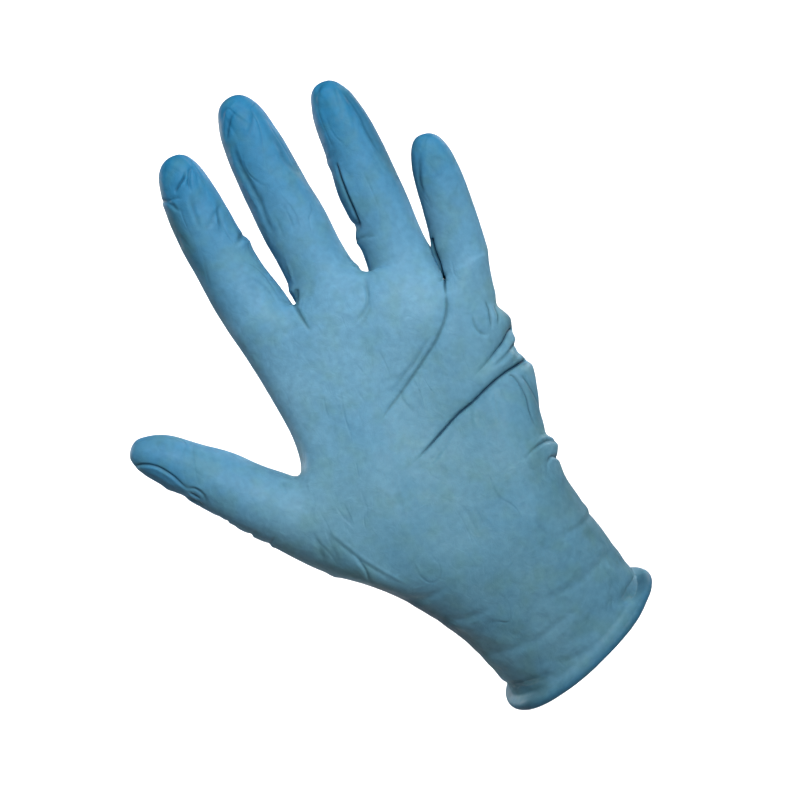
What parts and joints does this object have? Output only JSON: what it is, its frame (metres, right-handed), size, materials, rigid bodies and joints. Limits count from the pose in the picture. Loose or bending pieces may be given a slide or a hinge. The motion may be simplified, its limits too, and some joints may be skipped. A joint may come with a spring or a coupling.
{
  "type": "disposable glove",
  "caption": "Thin disposable examination glove in its worn form: spread fingers and thumb, creased palm, film gathered at the little finger's side, and a cuff with a rolled bead",
  "frame": {"origin": "centre of the cuff's rolled rim, where the wrist goes in", "axes": "+Z along the fingers from the cuff to the tips, +X to the little finger's side, so the thumb lies towards -X, and the palm faces -Y"},
  "size_m": [0.1519, 0.0625, 0.2423],
  "materials": {
    "nitrile": "satin, slightly see-through, deeper blue where the film hangs loose or is rolled"
  },
  "bodies": {
    "root": {"cuff_and_palm": "nitrile", "thumb": "nitrile", "index_finger": "nitrile", "middle_finger": "nitrile", "ring_finger": "nitrile", "little_finger": "nitrile"}
  },
  "joints": []
}
